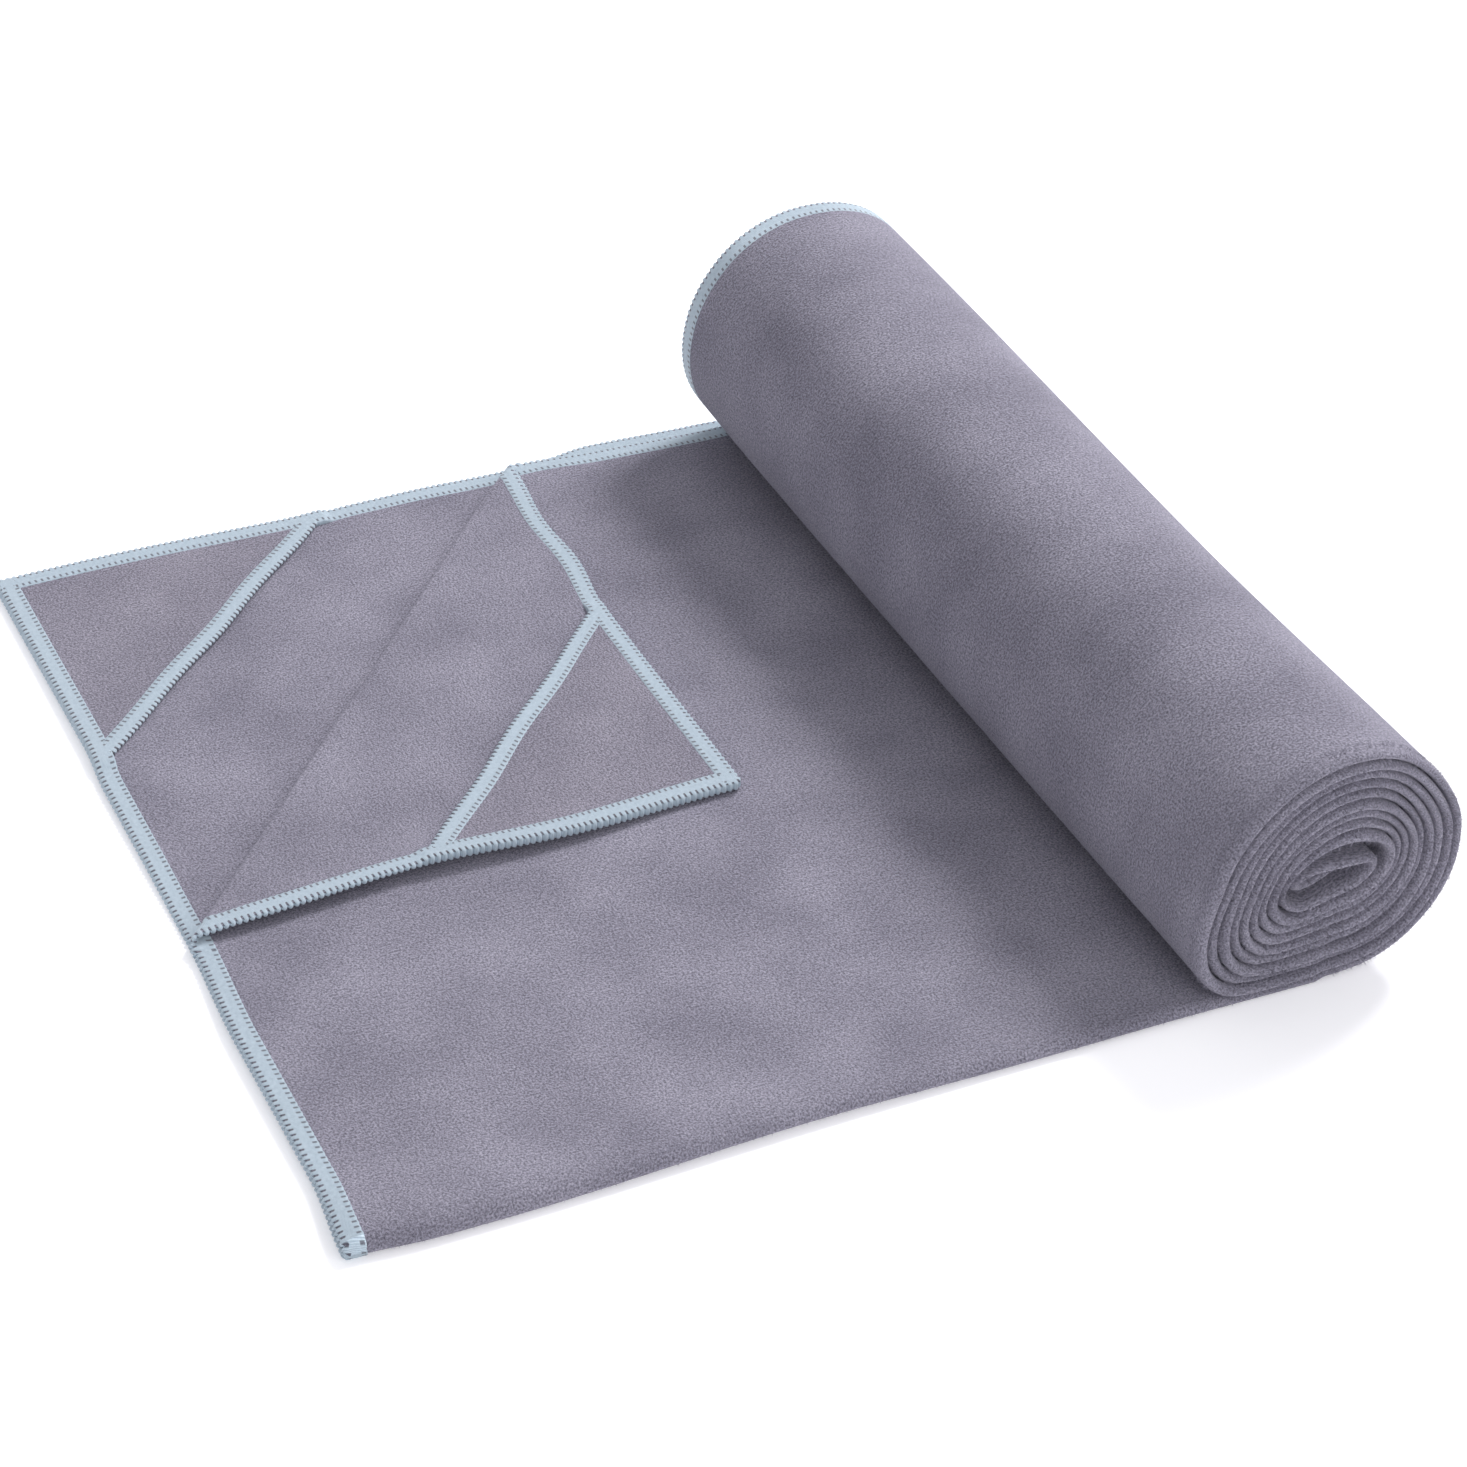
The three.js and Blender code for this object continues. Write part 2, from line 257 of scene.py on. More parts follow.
def edging_material(name, width):
    """Satin overlock thread. In millimetres, U runs along the edge and V round it from the inner edge."""
    material, nodes, links, shader, uv = node_tree(name)
    split = nodes.new("ShaderNodeSeparateXYZ")
    links.new(uv.outputs["UV"], split.inputs["Vector"])
    along, around = split.outputs["X"], split.outputs["Y"]
    slanted = math_node(nodes, links, "MULTIPLY", around, STITCH_SLANT)
    turned = math_node(nodes, links, "ADD", along, slanted)
    strands = math_node(nodes, links, "MULTIPLY", turned, 2 * math.pi / THREAD)
    thread = math_node(nodes, links, "SINE", strands)
    stitch = math_node(nodes, links, "FRACT", math_node(nodes, links, "DIVIDE", turned, STITCH))
    wobble = noise(nodes, links, uv, 0.8, detail=3)
    base = ramp(nodes, links, wobble, 0.3, 0.7, (0.47, 0.58, 0.66), (0.60, 0.71, 0.79))
    strand = math_node(nodes, links, "MULTIPLY_ADD", thread, 0.5, 0.5)
    lines = ramp(nodes, links, strand, 0.0, 1.0, (0.80, 0.82, 0.86), (1.0, 1.0, 1.0))
    satin = multiply(nodes, links, base, lines)
    # Dark needle holes along the inner edge, and the cloth showing between the loops at the outer one, both
    # painted much darker than the cloth as painted shade in these holes and gaps.
    holes = math_node(nodes, links, "MULTIPLY", band(nodes, links, stitch, 0.30, 0.64, 0.07),
                      band(nodes, links, around, 0.70, 1.95, 0.15))
    gaps = math_node(nodes, links, "MULTIPLY", band(nodes, links, stitch, 0.33, 0.67, 0.08),
                     band(nodes, links, around, width - 0.55, width + 0.9, 0.2))
    dark = math_node(nodes, links, "MAXIMUM", math_node(nodes, links, "MULTIPLY", holes, 0.85), gaps)
    shade = nodes.new("ShaderNodeMix")
    shade.data_type = "RGBA"
    # Painted shade colour for the needle holes and the gaps between the loops.
    shade.inputs["B"].default_value = (0.085, 0.085, 0.115, 1)
    links.new(dark, shade.inputs["Factor"])
    links.new(satin, shade.inputs["A"])
    links.new(shade.outputs["Result"], shader.inputs["Base Color"])
    shader.inputs["Roughness"].default_value = 0.5
    shader.inputs["Specular IOR Level"].default_value = 0.35
    shader.inputs["Sheen Weight"].default_value = 0.25
    bump = nodes.new("ShaderNodeBump")
    bump.inputs["Strength"].default_value = 0.7
    bump.inputs["Distance"].default_value = 0.0002
    links.new(thread, bump.inputs["Height"])
    links.new(bump.outputs["Normal"], shader.inputs["Normal"])
    return material


# The dark and light ends of the large patches, which are partly painted shade and light.
CLOTH_MATERIAL = cloth_material("towel_cloth", dark=(0.216, 0.207, 0.255), light=(0.300, 0.288, 0.345))
POCKET_MATERIAL = cloth_material("pocket_cloth", dark=(0.222, 0.210, 0.256), light=(0.290, 0.275, 0.325))
EDGING_MATERIAL = edging_material("edging_thread", EDGING)


# ---- Mesh building ----

def new_object(name, points, faces, uvs, material):
    """points are layout millimetres, and uvs holds one pair for each of them."""
    mesh = bpy.data.meshes.new(name)
    mesh.from_pydata(place(points).tolist(), [], faces)
    layer = mesh.uv_layers.new(name="flat")
    loops = np.zeros(len(mesh.loops), np.int32)
    mesh.loops.foreach_get("vertex_index", loops)
    layer.data.foreach_set("uv", np.asarray(uvs, np.float32)[loops].ravel())
    mesh.materials.append(material)
    mesh.polygons.foreach_set("use_smooth", np.ones(len(mesh.polygons), bool))
    mesh.set_sharp_from_angle(angle=SHARP)
    mesh.update()
    thing = bpy.data.objects.new(name, mesh)
    bpy.context.collection.objects.link(thing)
    return thing


def quads(rows, columns, start=0, wrap=False, flip=False):
    """Faces of a grid of points that are numbered row by row.

    wrap joins each row's end to its beginning."""
    reach = columns if wrap else columns - 1
    r, c = np.meshgrid(np.arange(rows - 1), np.arange(reach), indexing="ij")
    a = r * columns + c
    b = r * columns + (c + 1) % columns
    faces = np.stack([a, b, b + columns, a + columns], axis=-1).reshape(-1, 4) + start
    return (faces[:, ::-1] if flip else faces).tolist()


def face_out(thing):
    """Turns the faces over if the closed mesh's volume is negative."""
    mesh = thing.data
    mesh.calc_loop_triangles()
    points = np.array([v.co for v in mesh.vertices])
    corners = np.array([t.vertices for t in mesh.loop_triangles])
    a, b, c = (points[corners[:, i]] for i in range(3))
    if (a * np.cross(b, c)).sum() < 0:
        mesh.flip_normals()
    return thing


def sheet_solid(name, u, v, mapping, material, half=HALF, even=False):
    """A sheet of cloth: a grid of flat places u, v, made thick to both sides and closed round its rim.

    even keeps the pile from being stretched where the rows of the grid go round a bend."""
    rows, columns = u.shape
    top = mapping(u, v, half)
    bottom = mapping(u, v, -half)
    points = np.concatenate([top.reshape(-1, 3), bottom.reshape(-1, 3)])
    count = rows * columns
    faces = quads(rows, columns) + quads(rows, columns, start=count, flip=True)
    index = np.arange(count).reshape(rows, columns)
    rim = np.concatenate([index[0, :-1], index[:-1, -1], index[-1, :0:-1], index[:0:-1, 0]])
    for here, after in zip(rim, np.roll(rim, -1)):
        faces.append([int(after), int(here), int(here) + count, int(after) + count])
    flat = []
    for side in (top, bottom):
        over = travelled(u, v, side) if even else v
        flat.append(np.stack([u.ravel(), over.ravel()], axis=1))
    return face_out(new_object(name, points, faces, np.concatenate(flat), material))


def travelled(u, v, points):
    """The distance over the surface from the grid's first row, in place of v."""
    steps = np.diff(points, axis=0)
    steps[..., 0] -= np.diff(u, axis=0)
    lengths = np.linalg.norm(steps, axis=-1)
    return v[:1] + np.concatenate([np.zeros_like(v[:1]), np.cumsum(lengths, axis=0)])


def edging_profile(width, half, steps=6):
    """Corners of the thread's wrap, as (out from the edge, off the cloth's middle), and their V."""
    outside = 0.9
    shoulder = -0.6
    upper = [(-width, half * 0.55), (-width + 0.35, half), (-width + 1.1, half * 0.97),
             (-width * 0.5, half * 1.06), (-1.3, half), (shoulder, half)]
    nose = []
    for step in range(1, steps):
        angle = math.pi * (0.5 - step / steps)
        nose.append((shoulder + (outside - shoulder) * math.cos(angle), half * math.sin(angle)))
    lower = [(out, -off) for out, off in reversed(upper)]
    corners = np.array(upper + nose + lower)
    steps_long = np.hypot(*np.diff(corners, axis=0).T)
    distance = np.concatenate([[0], np.cumsum(steps_long)])
    # V is measured from the inner edge on the one face and back to it on the other.
    return corners, np.minimum(distance, distance[-1] - distance)


def outside_length(t):
    """The length along the outside of the edging, which is longer round the side fold, at t = 0."""
    longer = 3.0
    return t + longer * np.sin(np.clip(t / FOLD_ARC, -1, 1) * math.pi / 2)


def edging_solid(name, along, mapping, width, half, step=0.4, loops=1.0, folded=False):
    """Overlock thread round an edge. mapping(t, out, off) places a point at t along the run.

    loops scales the stitches' bulges. folded is for the run that goes round the side fold."""
    length = along[1] - along[0]
    count = max(8, int(round(length / step)))
    t = np.linspace(along[0], along[1], count + 1)
    if folded:
        around_fold = np.linspace(-1.3 * FOLD_ARC, 1.3 * FOLD_ARC, 41)
        t = np.unique(np.concatenate([t, around_fold]))
    profile, around = edging_profile(width, half)
    tt, out = np.meshgrid(t, profile[:, 0], indexing="ij")
    off = np.broadcast_to(profile[:, 1], tt.shape).copy()
    # The loops bulge at the edge and pull in between stitches; the needle line dips at each hole.
    sewn = outside_length(tt) if folded else tt
    beat = np.abs(np.cos(np.pi * (sewn + STITCH_SLANT * width) / STITCH)) ** 0.7
    outer = smooth((out + 1.5) / 1.5)
    inner = smooth((-width + 1.3 - out) / 0.8)
    bulge = 1.15 * beat - 0.75
    pull = 0.14 * beat - 0.07
    fatter = beat - 0.6
    out = out + outer * bulge * loops - inner * pull
    off = off * (1 + 0.35 * outer * fatter + 0.15 * inner * fatter)
    points = mapping(tt, out, off)
    rows, columns = tt.shape
    faces = quads(rows, columns, wrap=True)
    faces.append(list(range(columns))[::-1])
    faces.append([(rows - 1) * columns + i for i in range(columns)])
    uv = np.stack([sewn, np.broadcast_to(around, tt.shape)], axis=-1).reshape(-1, 2)
    return face_out(new_object(name, points.reshape(-1, 3), faces, uv, EDGING_MATERIAL))


# ---- The towel's shape ----

def roll_line(y):
    """Where the flat part ends and the roll begins."""
    return ROLL_X - ROLL_SKEW * y


# The rolled length at which the pockets of the towel's end begin.
POCKET_START = TOWEL_LENGTH - roll_line(WIDTH / 2) - ROLLED_POCKET[0] - EDGING


def pocket_room(rolled):
    """How far the pockets push the two layers apart, a rolled length from where the roll begins."""
    return POCKET_ROOM * smooth((rolled - POCKET_START) / 12.0)


def roll_table(step=math.radians(2)):
    """Angle, outer radius and rolled length, from the floor round to the towel's end in the core."""
    rows = [(0.0, ROLL_RADIUS, 0.0)]
    while rows[-1][2] < TOWEL_LENGTH:
        angle, radius, length = rows[-1]
        pitch = TURN_PITCH + pocket_room(length)
        if radius < SMALLEST_TURN:
            pitch = 0.0
        middle = radius - pitch / 2
        rows.append((angle + step, radius - pitch * step / (2 * math.pi), length + middle * step))
    return np.array(rows).T


ROLL_ANGLE, ROLL_OUTER, ROLL_LENGTH = roll_table()


def rolled_place(rolled, y, depth):
    """X and Z from the roll's middle: a spiral, pressed flat in the core and slumped where it rests."""
    angle = np.interp(rolled, ROLL_LENGTH, ROLL_ANGLE)
    radius = np.interp(rolled, ROLL_LENGTH, ROLL_OUTER) - depth
    # Turns are pressed flat from a radius of 33 mm inwards.
    core = smooth((33.0 - radius) / 25.0)
    pressed = 3.2 * core
    x = (radius + pressed) * np.sin(angle)
    z = -(radius - pressed) * np.cos(angle)
    # The last turn sags away from the one round it, most of all at its upper right.
    inmost = smooth((14.5 - radius) / 5.0)
    above = np.clip(0.45 * np.sin(angle) - 0.9 * np.cos(angle), 0, 1) ** 2
    x = x - inmost * (1.3 + 0.8 * above)
    z = z - inmost * (1.0 + 2.6 * above) + 0.10 * core * x
    # It slumps over the flat part, most of all at the near end, and sags a little on the other side.
    near = 1 - y / WIDTH
    below = np.degrees(np.arctan2(-z, np.abs(x) + 1e-9))
    slump = (0.08 + 0.18 * np.clip(near, 0, 1) ** 0.7) * smooth((below + 8.0) / 52.0)
    sag = 0.045 * np.sin(np.radians(2 * np.clip(below, 0, 90)))
    swell = 1 + np.where(x < 0, slump, sag)
    # Its underside stays flat.
    limit = 1 / np.maximum(np.sin(np.radians(below)), 0.3)
    crisp = 24.0
    swell = (swell ** -crisp + limit ** -crisp) ** (-1 / crisp)
    # It is a little flatter at its upper left, on top towards the far end, and at its upper right.
    left = 0.035
    top = 0.03 * np.clip(1 - near, 0, 1)
    right = 0.078 * smooth(near * 1.4) * (1 - 0.45 * smooth((near - 0.65) / 0.35))
    swell = swell - left * lobe(x, z, 143.0, 48.0) - top * lobe(x, z, 95.0, 45.0)
    swell = swell - right * lobe(x, z, 38.0, 40.0)
    return x * swell, z * swell


def lobe(x, z, centre, half):
    """One at centre, in degrees round the roll, falling to zero at half to each side of it."""
    away = np.abs((np.degrees(np.arctan2(z, x)) - centre + 180) % 360 - 180)
    return np.cos(np.clip(away / half, 0, 1) * math.pi / 2) ** 2


def world(s, y, depth, layer):
    """A place s along the towel, y across the folded width and depth up from its outer face.

    On the floor depth is the height; in the roll it is measured inwards from the outside of that turn.
    layer is 0 on the lower layer and 1 on the upper one."""
    rolled = s - roll_line(y)
    x, z = rolled_place(np.maximum(rolled, 0), y, depth)
    flat = rolled <= 0
    # The turns' near ends stand out or back a little from one another.
    uneven = np.sin(rolled / 61.0) + 0.6 * np.sin(rolled / 23.0 + 1.0)
    uneven = 0.6 * uneven * smooth(rolled / 100.0) * smooth(1 - y / 60.0)
    # The side fold's last bit is tucked into the core.
    last = 45.0
    tucked_in = 8.0 * smooth((rolled - (TOWEL_LENGTH - ROLL_X - last)) / last) * smooth(1 - y / 200.0)
    return np.stack([
        np.where(flat, s + edge_wander(s, y), roll_line(y) + x),
        y + side_wander(s, y, layer) + uneven + tucked_in,
        np.where(flat, depth + flat_lift(s, y), ROLL_RADIUS + z),
    ], axis=-1)


def flat_lift(s, y):
    """Soft waves in the flat part, which die out at the roll."""
    wave = 0.5 + 0.5 * np.sin(s / 31.0 + y / 57.0 + 0.6) * np.sin(y / 41.0 - s / 83.0)
    from_crease = np.abs(TO_U * s + TO_V * (WIDTH - y) - CREASE_AWAY)
    return 1.1 * wave * smooth((roll_line(y) - s) / 60.0) * smooth((from_crease - 4.0) / 22.0)


def edge_wander(s, y):
    """How far the short edge strays from a straight line."""
    near_corner = 2.4 * smooth(1 - y / 30.0)
    middle = 2.1 * smooth((y - 85.0) / 45.0)
    far_corner = 1.2 * smooth((y - 200.0) / 20.0)
    stray = 0.1 + middle - near_corner + far_corner
    return stray * smooth(1 - s / 160.0)


def side_wander(s, y, layer):
    """How far the long sides stray: the side fold is loose near its corner, and the far edges wave."""
    fold_side = smooth(1 - y / 45.0)
    far_side = smooth((y - 255.0) / 50.0)
    loose = -3.0 * smooth((150.0 - s) / 110.0) * (1 - 0.5 * smooth(1 - s / 25.0)) * fold_side
    wave = -0.8 + 1.5 * smooth((s - 95.0) / 25.0) + 0.4 * np.sin(s / 23.0)
    # Next to the roll the lower layer's edge comes out from under the upper one's.
    apart = 3.2 - 5.6 * layer
    wave = wave + apart * smooth((s - 178.0) / 25.0) * smooth((272.0 - s) / 30.0)
    return loose + wave * far_side * smooth((285.0 - s) / 30.0)


def across(v):
    """Where v, the flat distance from the side fold, comes to lie: y, depth and the outward direction.

    It is positive on the lower layer, which is the outer one in the roll."""
    angle = np.clip(v / FOLD_R, -math.pi / 2, math.pi / 2)
    past = np.maximum(np.abs(v) - FOLD_ARC, 0)
    y = FOLD_Y - FOLD_R * FOLD_LONG * np.cos(angle) + past
    depth = HALF + FOLD_R - FOLD_R * np.sin(angle)
    return y, depth, -FOLD_LONG * np.cos(angle), -np.sin(angle)


def panel(s, v, off):
    """The panel: s along it, v across it from the side fold, off from its middle to its outer face."""
    y, depth, out_y, out_depth = across(v)
    y = y + off * out_y
    depth = depth + off * out_depth
    inner = (1 - np.clip(v / FOLD_ARC, -1, 1)) / 2
    rolled = s - roll_line(y)
    room = pocket_room(rolled) * smooth((y - 170.0) / 35.0)
    # The side fold is puffed up where it lies flat, most of all at its corner.
    puff = (1.0 + 2.0 * smooth((190.0 - s) / 140.0)) * smooth(1 - np.maximum(y - 4.0, 0) / 30.0)
    puff = puff * np.sqrt(1 - (1 - np.clip(y / 3.0, 0, 1)) ** 2)
    puff = puff * smooth(-rolled / 50.0) * smooth(s / 14.0 + 0.55)
    return world(s, y, depth + (room + puff) * inner, inner)


# ---- The turned corner ----

TURN_R = 1.45                   # the crease's bend, at mid thickness
TURN_ARC = math.pi * TURN_R / 2
UPPER_MIDDLE = CLOTH + PLY_GAP + HALF
REST_HEIGHT = UPPER_MIDDLE + CLOTH + 0.1      # the turned corner's middle, where it lies on the upper layer
TUCK = 3.5                      # how far the turned piece reaches under itself, past the crease
CUT_U = CREASE[0] + TUCK / TO_U
CUT_V = CREASE[1] + TUCK / TO_V


def corner(u, v, off):
    """The turned corner: u and v are flat distances from its corner along its two edges.

    off is towards its inner face, which shows."""
    # p is the flat distance past the crease, towards the corner, and w the place along the crease.
    p = CREASE_AWAY - TO_U * u - TO_V * v
    w = TO_V * u - TO_U * v
    angle = np.clip(p / TURN_R, -math.pi / 2, math.pi / 2)
    past = np.maximum(np.abs(p) - TURN_ARC, 0)
    # The tucked strip gets back the length that its half of the bend takes.
    taken = TURN_ARC - TURN_R
    under = smooth(past / (TUCK - TURN_ARC))
    out = TURN_R - TURN_R * np.cos(angle) + past + np.where(p < 0, taken * under, 0)
    height = UPPER_MIDDLE + TURN_R + TURN_R * np.sin(angle)
    # Away from the bend the corner settles on the upper layer, in soft waves.
    settle = np.where(p > 0, 1 - np.exp(-((past / 22.0) ** 2)), 0)
    height = height + settle * (REST_HEIGHT - UPPER_MIDDLE - 2 * TURN_R)
    wave = 1 + np.sin(u / 23.0) * np.cos(v / 31.0 + 0.5)
    height = height + 0.5 * settle * wave
    # The short edge stands up a little, and so does the very corner.
    stand = np.sin(math.pi * np.clip((v - 15.0) / 185.0, 0, 1)) ** 1.5
    height = height + 2.5 * stand * np.exp(-np.maximum(u, 0) / 11.0) * smooth(past / 8.0) * (p > 0)
    out = out - off * np.cos(angle)
    height = height + off * np.sin(angle)
    from_corner = CREASE_AWAY + out
    x = TO_U * from_corner + TO_V * w
    y = WIDTH - (TO_V * from_corner - TO_U * w)
    # The cloth is pulled slightly out of square, and its two edges wave.
    turned = smooth(p / TURN_ARC)
    skew = 5.0 * np.maximum(p, 0) / CREASE_AWAY
    along_long = np.sin(math.pi * np.clip(u / CREASE[0], 0, 1)) * np.exp(-np.maximum(v, 0) / 40.0)
    along_short = np.sin(math.pi * np.clip(v / CREASE[1], 0, 1)) * np.exp(-np.maximum(u, 0) / 30.0)
    kink = np.sin((131.0 - u) / 11.0) * np.exp(-(((u - 125.0) / 28.0) ** 2))
    kink = kink * np.exp(-np.maximum(v, 0) / 25.0)
    x = x - turned * (skew + 2.6 * along_long - 2.0 * kink)
    y = y + turned * 2.0 * np.sin(v / 21.0 + 2.6) * along_short
    # The crease's far end is drawn in from the edge.
    drawn = 1.5 * smooth((p + TURN_ARC) / TURN_ARC) + 1.5 * smooth(p / 12.0)
    y = y - drawn * np.exp(-np.maximum(v, 0) / 12.0) * np.exp(-((p / 24.0) ** 2))
    return np.stack([
        x + edge_wander(x, y),
        y + side_wander(x, y, 1.0),
        height + flat_lift(x, y),
    ], axis=-1)


# ---- Pieces ----

def spaced(start, stop, step):
    """Even places from start to stop, at most step apart."""
    count = int(math.ceil(abs(stop - start) / step)) + 1
    return np.linspace(start, stop, max(2, count))


def rows_across(step=6.0):
    """Places across the towel, from long edge to long edge and close together round the side fold."""
    bend = spaced(-FOLD_ARC - 2.0, FOLD_ARC + 2.0, 0.45)
    return np.concatenate([spaced(-EDGE, bend[0], step)[:-1], bend, spaced(bend[-1], EDGE, step)[1:]])


def towel_panel():
    """The whole panel but its turned corner: both flat layers, the side fold and the roll."""
    rows = np.unique(np.concatenate([rows_across(), [CUT_V - EDGE]]))
    begin = np.where(rows < CUT_V - EDGE, CUT_U * (1 - (EDGE + rows) / CUT_V), 0.0)
    # The columns start at the crease or the short edge, and are straight from settled on.
    settled = 200.0
    turn_end = 560.0
    core_start = 1400.0
    shares = np.linspace(0, 1, 70)
    flat = begin[:, None] + (settled - begin[:, None]) * shares
    straight = np.concatenate([
        spaced(settled, turn_end, 3.0)[1:],
        spaced(turn_end, core_start, 3.6)[1:],
        spaced(core_start, TOWEL_LENGTH - 1, 2.0)[1:],
    ])
    rest = np.broadcast_to(straight, (len(rows), len(straight)))
    s = np.concatenate([flat, rest], axis=1)
    v = np.broadcast_to(rows[:, None], s.shape).copy()
    return sheet_solid("towel_panel", s, v, panel, CLOTH_MATERIAL, even=True)


def nap_fibres(random):
    """Tufts of nap that stand out from the side fold, each a thin blade from root to tip."""
    first_turn = ROLL_X + 265.0
    # Along the towel from and to, across it from and to, and fibres per millimetre of length.
    bands = [
        (0.0, ROLL_X, -FOLD_ARC - 3.0, FOLD_ARC * 0.6, 9.0),
        (ROLL_X, first_turn, -FOLD_ARC * 0.6, FOLD_ARC + 3.0, 14.0),
        (first_turn, TOWEL_LENGTH - 2.0, -FOLD_ARC * 0.7, FOLD_ARC * 0.7, 9.0),
    ]
    roots = []
    for start, stop, low, high, per_mm in bands:
        count = int((stop - start) * per_mm)
        along = random.uniform(start, stop, count)
        over = random.uniform(low, high, count)
        roots.append(np.stack([along, over], axis=1))
    s, v = np.concatenate(roots).T
    reach = random.uniform(0.25, 0.75, len(s)) * np.where(s < ROLL_X, 0.6, 1.35)
    lean_s, lean_v = random.normal(0.0, 0.35, (2, len(s)))
    wide = random.uniform(0.05, 0.10, len(s))
    root = HALF - 0.05
    left = panel(s - wide, v, root)
    right = panel(s + wide, v, root)
    tip = panel(s + lean_s * reach, v + lean_v * reach, HALF + reach)
    points = np.stack([left, right, tip], axis=1).reshape(-1, 3)
    faces = np.arange(len(points)).reshape(-1, 3).tolist()
    flat = np.repeat(np.stack([s, v], axis=1), 3, axis=0)
    return new_object("nap_fibres", points, faces, flat, CLOTH_MATERIAL)


def turned_corner():
    """The cloth of the corner that is turned back, with a strip that goes round the crease."""
    fan = np.linspace(0, 1, 150)
    p = np.concatenate([spaced(-TUCK, -TURN_ARC, 0.4), spaced(-TURN_ARC, TURN_ARC, 0.45)[1:],
                        spaced(TURN_ARC, CREASE_AWAY - 0.5, 2.0)[1:]])
    line = CREASE_AWAY - p[:, None]
    u = line / TO_U * (1 - fan)
    v = line / TO_V * fan
    return sheet_solid("turned_corner_cloth", u, v, corner, CLOTH_MATERIAL)


def bowed(legs, bow, u, v):
    """Moves places near a pocket's mouth outwards, by bow at the most."""
    a, b = legs
    reach = u / a + v / b
    share = (v / b) / np.maximum(reach, 1e-6)
    push = bow * np.sin(math.pi * np.clip(share, 0, 1) ** 1.8) * np.clip(reach, 0, 1) ** 2
    length = math.hypot(a, b)
    return u + push * b / length, v + push * a / length


def gape(legs, u, v):
    """A pocket's mouth stands open a little in the middle, between its two sewn ends."""
    a, b = legs
    most = 0.8
    middle = np.clip(4 * (u / a) * (v / b), 0, 1)
    return most * middle * np.clip(u / a + v / b, 0, 1) ** 2


def pocket_cut(legs):
    """Legs of a pocket's cloth, which ends under the edging on all three sides."""
    short_of_mouth = MOUTH_EDGING - 1.0
    scale = 1 - short_of_mouth * math.hypot(1 / legs[0], 1 / legs[1])
    return [leg * scale - 2 * POCKET_INSET for leg in legs]


def pocket(name, legs, mapping, bow):
    """A pocket's cloth. mapping(u, v, off) is its corner's."""
    def raised(u, v, off):
        return mapping(*bowed(legs, bow, u, v), POCKET_BASE + gape(legs, u, v) + off)

    a, b = pocket_cut(legs)
    even = np.linspace(0, 1, 44)
    fan, share = np.meshgrid(even, even, indexing="ij")
    u = POCKET_INSET + share * a * (1 - fan)
    v = POCKET_INSET + share * b * fan
    return sheet_solid(name, u, v, raised, POCKET_MATERIAL, half=POCKET_CLOTH / 2)


def mouth_edging(name, legs, mapping, bow):
    """The overlocked edge of a pocket's mouth."""
    a, b = legs
    from_corner = 5.0
    length = math.hypot(a, b)

    def run(t, out, off):
        share = t / length
        wander = 0.5 * np.sin(t / 9.0) * np.sin(math.pi * share)
        u = a * (1 - share) + (out + wander) * b / length
        v = b * share + (out + wander) * a / length
        return mapping(*bowed(legs, bow, u, v), POCKET_BASE + gape(legs, u, v) + off)

    along = (from_corner, length - from_corner)
    return edging_solid(name, along, run, MOUTH_EDGING, MOUTH_HALF, loops=0.5)


def lower_corner(u, v, off):
    """The lower layer's far left corner; off is towards its inner face, which shows."""
    return panel(u, EDGE - v, -off)


def end_corner(side):
    """A corner of the rolled-up end: side is 1 on the outer layer and -1 on the inner one."""
    def mapping(u, v, off):
        return panel(TOWEL_LENGTH - u, side * (EDGE - v), -off)

    return mapping


def over_pocket(off, distance, leg, side):
    """The edging is thicker where it also wraps a pocket's edge: off, and what it adds on that side.

    distance is measured from the corner, and side is 1 or -1."""
    extra = (POCKET_CLOTH + 0.15) * smooth((leg - distance) / 5.0 + 0.5)
    return off + side * extra * (off * side > 0)


def blend_corner(piece):
    """Bakes the piece's transform into its mesh; it is not attached to a body."""
    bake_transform(piece)


def edging_run(name, along, mapping, half, *nodes, on_crease=False, step=0.4, folded=False):
    """A run of the towel's own edging, which stands for the CAD nodes."""
    piece = edging_solid(name, along, mapping, EDGING, half, step, folded=folded)
    if on_crease:
        blend_corner(piece)
    else:
        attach(piece, "towel")
    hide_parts(*nodes)
    return piece


panel_piece = towel_panel()
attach(panel_piece, "towel")
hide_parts("panel_lower_layer", "panel_upper_layer", "panel_side_fold",
            "panel_rolled_outer", "panel_rolled_inner", "panel_rolled_side_fold")

nap_piece = nap_fibres(np.random.default_rng(5))
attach(nap_piece, "towel")

corner_piece = turned_corner()
blend_corner(corner_piece)
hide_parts("turned_corner")


def short_run(t, out, off):
    return panel(-out, t, over_pocket(off, EDGE - t, LOWER_POCKET[1], -1))


def lower_run(t, out, off):
    return panel(t, EDGE + out, over_pocket(off, t, LOWER_POCKET[0], -1))


def upper_run(t, out, off):
    return panel(t, -EDGE - out, off)


def rolled_outer_run(t, out, off):
    return panel(t, EDGE + out, over_pocket(off, TOWEL_LENGTH - t, ROLLED_POCKET[0], -1))


def rolled_inner_run(t, out, off):
    return panel(t, -EDGE - out, over_pocket(off, TOWEL_LENGTH - t, ROLLED_POCKET[0], -1))


def rolled_end_run(t, out, off):
    return panel(TOWEL_LENGTH + out, t, over_pocket(off, EDGE - np.abs(t), ROLLED_POCKET[1], -1))


def turned_long_run(t, out, off):
    return corner(t, -out, over_pocket(off, t, TURNED_POCKET[0], 1))


def turned_short_run(t, out, off):
    return corner(-out, t, over_pocket(off, t, TURNED_POCKET[1], 1))


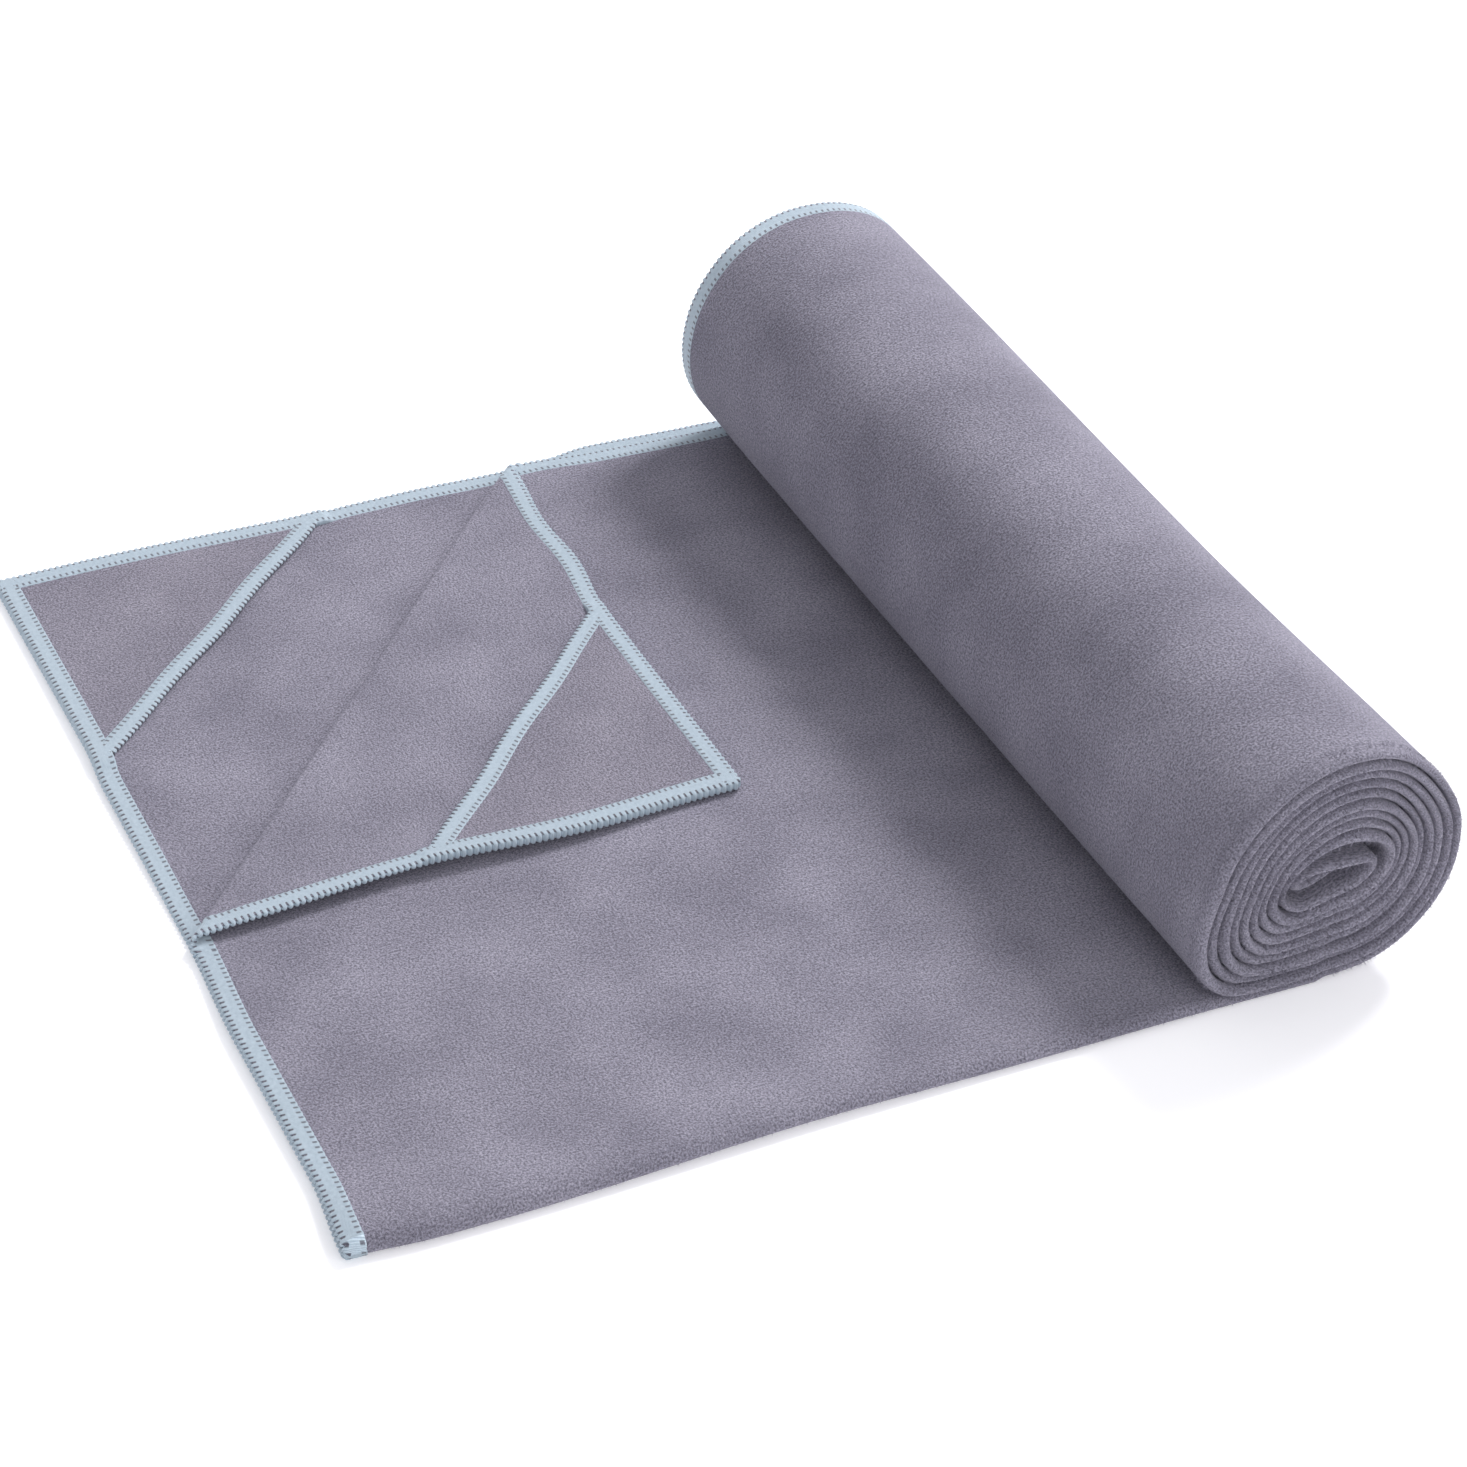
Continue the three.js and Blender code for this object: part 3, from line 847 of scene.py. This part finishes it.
short_edge = edging_run("thread_short", (CUT_V - EDGE, EDGE), short_run, FLAT_HALF,
                        "edging_lower_short", "edging_fold_turn", "edging_upper_short", folded=True)
lower_long = edging_run("thread_lower_long", (0.0, FLAT_END), lower_run, FLAT_HALF,
                        "edging_lower_long")
upper_long = edging_run("thread_upper_long", (CUT_U, FLAT_END), upper_run, FLAT_HALF,
                        "edging_upper_long")
rolled_outer = edging_run("thread_rolled_outer", (FLAT_END, TOWEL_LENGTH), rolled_outer_run, ROLL_HALF,
                          "edging_rolled_outer_long", step=0.5)
rolled_inner = edging_run("thread_rolled_inner", (FLAT_END, TOWEL_LENGTH), rolled_inner_run, ROLL_HALF,
                          "edging_rolled_inner_long", step=0.5)
rolled_end = edging_run("thread_rolled_end", (-EDGE, EDGE), rolled_end_run, ROLL_HALF,
                        "edging_rolled_outer_short", "edging_rolled_inner_short", step=0.7)
turned_long = edging_run("thread_turned_long", (0.0, CUT_U), turned_long_run, FLAT_HALF,
                         "edging_turned_long", on_crease=True)
turned_short = edging_run("thread_turned_short", (0.0, CUT_V), turned_short_run, FLAT_HALF,
                          "edging_turned_short", on_crease=True)

# Each pocket's label, legs, corner, body and how far its mouth is bowed.
POCKETS = [
    ("lower", LOWER_POCKET, lower_corner, "towel", 0.0),
    ("turned", TURNED_POCKET, corner, "turned_corner", 1.6),
    ("rolled_outer", ROLLED_POCKET, end_corner(1), "towel", 0.0),
    ("rolled_inner", ROLLED_POCKET, end_corner(-1), "towel", 0.0),
]
for label, legs, mapping, body, bow in POCKETS:
    cloth = pocket(f"pocket_{label}", legs, mapping, bow)
    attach(cloth, body)
    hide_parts(f"corner_pocket_{label}")
    mouth = mouth_edging(f"pocket_mouth_{label}", legs, mapping, bow)
    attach(mouth, body)
    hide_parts(f"mouth_edging_{label}")

# ---- Stage and light ----

def make_stage():
    """A pale floor just under the towel, that is the background too."""
    reach = 6.0
    corners = [(-reach, -reach, 0), (reach, -reach, 0), (reach, reach, 0), (-reach, reach, 0)]
    mesh = bpy.data.meshes.new("floor")
    mesh.from_pydata(corners, [], [[0, 1, 2, 3]])
    floor = bpy.data.objects.new("floor", mesh)
    clear = 0.0002
    floor.location.z = ORIGIN[2] - clear
    bpy.context.collection.objects.link(floor)
    material = bpy.data.materials.new("floor_white")
    material.use_nodes = True
    shader = material.node_tree.nodes["Principled BSDF"]
    shader.inputs["Base Color"].default_value = (0.93, 0.93, 0.945, 1)
    shader.inputs["Roughness"].default_value = 0.9
    shader.inputs["Specular IOR Level"].default_value = 0.1
    shader.inputs["Emission Color"].default_value = (1.0, 0.99, 1.0, 1)
    shader.inputs["Emission Strength"].default_value = 0.25
    mesh.materials.append(material)


def area_light(name, place_at, size, power, colour):
    """A square light that is aimed at the middle of the towel; places and sizes are in metres."""
    light = bpy.data.lights.new(name, "AREA")
    light.size = size
    light.energy = power
    light.color = colour
    thing = bpy.data.objects.new(name, light)
    thing.location = place_at
    thing.rotation_euler = (-Vector(place_at)).to_track_quat("-Z", "Y").to_euler()
    bpy.context.collection.objects.link(thing)


make_stage()
area_light("key", (1.5, 0.85, 1.7), size=0.7, power=59, colour=(1.0, 0.99, 1.0))
area_light("front", (0.5, -2.0, 1.2), size=1.6, power=16, colour=(1.0, 1.0, 1.0))
world_light = bpy.data.worlds.new("studio")
world_light.use_nodes = True
background = world_light.node_tree.nodes["Background"]
background.inputs["Color"].default_value = (0.96, 0.96, 1.0, 1)
background.inputs["Strength"].default_value = 0.70
bpy.context.scene.world = world_light
bpy.context.scene.view_settings.view_transform = "Standard"
